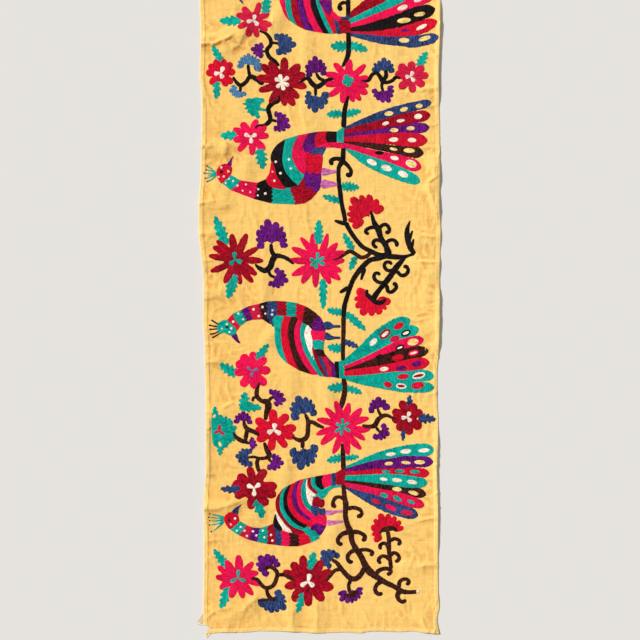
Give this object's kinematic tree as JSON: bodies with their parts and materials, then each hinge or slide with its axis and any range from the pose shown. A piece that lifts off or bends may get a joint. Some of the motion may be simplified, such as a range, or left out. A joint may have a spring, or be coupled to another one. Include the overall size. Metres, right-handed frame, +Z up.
{
  "type": "suzani embroidered cloth panel",
  "caption": "Long strip of creased yellow cotton lying flat, turned hem all round and a torn corner, as the ground for silk embroidery of birds and flowers.",
  "frame": {"origin": "middle of the underside, on the surface that the cloth lies on", "axes": "+X across the panel to the right as seen face on, +Y along it to the top, +Z up out of the embroidered face"},
  "size_m": [0.5119, 1.6, 0.0104],
  "materials": {
    "cotton": "matte, plain weave",
    "silk_teal": "satin, long stitches",
    "silk_pink": "satin, long stitches",
    "silk_rose": "satin, long stitches",
    "silk_red": "satin, long stitches",
    "silk_dark_red": "satin, long stitches",
    "silk_purple": "satin, long stitches",
    "silk_navy": "satin, long stitches",
    "silk_blue": "satin, long stitches",
    "silk_black": "satin, long stitches",
    "silk_brown": "satin, long stitches",
    "silk_cream": "satin, long stitches",
    "silk_lilac": "satin, long stitches",
    "silk_yellow": "satin, long stitches"
  },
  "bodies": {
    "root": {"panel": "cotton"}
  },
  "joints": []
}
